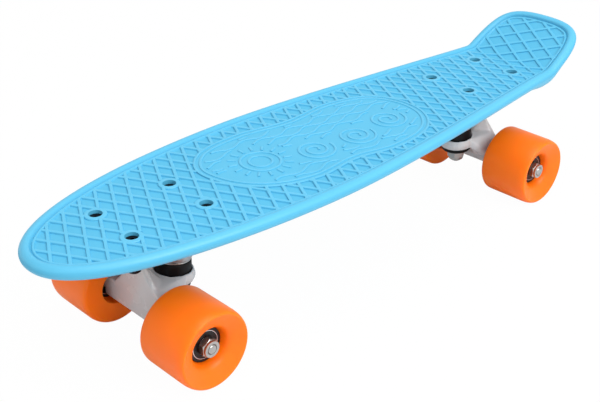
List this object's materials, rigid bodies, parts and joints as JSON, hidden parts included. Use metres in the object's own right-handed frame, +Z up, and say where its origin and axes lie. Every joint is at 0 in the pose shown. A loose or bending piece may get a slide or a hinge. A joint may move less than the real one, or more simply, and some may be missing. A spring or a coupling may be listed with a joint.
{
  "type": "cruiser skateboard",
  "caption": "Short moulded plastic cruiser skateboard with a latticed deck and kicktail, sprung trucks that lean to steer, and urethane wheels on ball bearings.",
  "frame": {"origin": "on the ground plane, under the middle of the deck's length and width", "axes": "+X along the deck towards the nose, +Y to the deck's left looking along +X, +Z up"},
  "size_m": [0.5714, 0.1566, 0.1344],
  "materials": {
    "deck_plastic": "sky-blue moulded polypropylene, satin with a fine grain",
    "orange_urethane": "opaque orange cast polyurethane, smooth, soft sheen",
    "white_paint": "aluminium casting with smooth white paint",
    "cast_silver": "bare aluminium casting, fine blasted grain",
    "zinc_steel": "bright zinc-plated steel",
    "bearing_steel": "bright ground rings with a black pressed shield",
    "black_steel": "black oxide steel, slightly oily sheen",
    "black_urethane": "black cast polyurethane, smooth",
    "black_plastic": "black moulded nylon, satin"
  },
  "bodies": {
    "deck_assembly": {"deck": "deck_plastic", "front_baseplate": "cast_silver", "front_pivot_cup": "black_plastic", "front_kingpin": "zinc_steel", "front_kingpin_nut": "zinc_steel", "front_upper_washer": "zinc_steel", "front_upper_bushing": "black_urethane", "front_lower_bushing": "black_urethane", "front_lower_washer": "zinc_steel", "front_bolt_outer_left": "black_steel", "front_bolt_nut_outer_left": "black_steel", "front_bolt_outer_right": "black_steel", "front_bolt_nut_outer_right": "black_steel", "front_bolt_inner_left": "black_steel", "front_bolt_nut_inner_left": "black_steel", "front_bolt_inner_right": "black_steel", "front_bolt_nut_inner_right": "black_steel", "rear_baseplate": "cast_silver", "rear_pivot_cup": "black_plastic", "rear_kingpin": "zinc_steel", "rear_kingpin_nut": "zinc_steel", "rear_upper_washer": "zinc_steel", "rear_upper_bushing": "black_urethane", "rear_lower_bushing": "black_urethane", "rear_lower_washer": "zinc_steel", "rear_bolt_outer_left": "black_steel", "rear_bolt_nut_outer_left": "black_steel", "rear_bolt_outer_right": "black_steel", "rear_bolt_nut_outer_right": "black_steel", "rear_bolt_inner_left": "black_steel", "rear_bolt_nut_inner_left": "black_steel", "rear_bolt_inner_right": "black_steel", "rear_bolt_nut_inner_right": "black_steel"},
    "front_truck": {"front_hanger": "white_paint", "front_axle": "zinc_steel", "front_left_axle_nut": "zinc_steel", "front_right_axle_nut": "zinc_steel"},
    "rear_truck": {"rear_hanger": "white_paint", "rear_axle": "zinc_steel", "rear_left_axle_nut": "zinc_steel", "rear_right_axle_nut": "zinc_steel"},
    "front_left_wheel": {"front_left_tyre": "orange_urethane", "front_left_core": "black_plastic", "front_left_outer_bearing": "bearing_steel", "front_left_inner_bearing": "bearing_steel"},
    "front_right_wheel": {"front_right_tyre": "orange_urethane", "front_right_core": "black_plastic", "front_right_outer_bearing": "bearing_steel", "front_right_inner_bearing": "bearing_steel"},
    "rear_left_wheel": {"rear_left_tyre": "orange_urethane", "rear_left_core": "black_plastic", "rear_left_outer_bearing": "bearing_steel", "rear_left_inner_bearing": "bearing_steel"},
    "rear_right_wheel": {"rear_right_tyre": "orange_urethane", "rear_right_core": "black_plastic", "rear_right_outer_bearing": "bearing_steel", "rear_right_inner_bearing": "bearing_steel"}
  },
  "joints": [
    {"name": "front_steer", "type": "hinge", "parent": "deck_assembly", "child": "front_truck", "pos_m": [0.21052, 0, 0.0748], "axis": [0.7865, 0, 0.6176], "range_deg": [-12, 12], "stiffness_Nm_per_rad": 45, "deforming": ["front_upper_bushing", "front_lower_bushing"]},
    {"name": "rear_steer", "type": "hinge", "parent": "deck_assembly", "child": "rear_truck", "pos_m": [-0.1954, 0, 0.0748], "axis": [-0.7865, 0, 0.6176], "range_deg": [-12, 12], "stiffness_Nm_per_rad": 45, "deforming": ["rear_upper_bushing", "rear_lower_bushing"]},
    {"name": "front_left_wheel_spin", "type": "hinge", "parent": "front_truck", "child": "front_left_wheel", "pos_m": [0.19819, 0.055, 0.03], "axis": [0, 1, 0], "continuous": true},
    {"name": "front_right_wheel_spin", "type": "hinge", "parent": "front_truck", "child": "front_right_wheel", "pos_m": [0.19819, -0.055, 0.03], "axis": [0, 1, 0], "continuous": true},
    {"name": "rear_left_wheel_spin", "type": "hinge", "parent": "rear_truck", "child": "rear_left_wheel", "pos_m": [-0.18307, 0.055, 0.03], "axis": [0, 1, 0], "continuous": true},
    {"name": "rear_right_wheel_spin", "type": "hinge", "parent": "rear_truck", "child": "rear_right_wheel", "pos_m": [-0.18307, -0.055, 0.03], "axis": [0, 1, 0], "continuous": true}
  ]
}
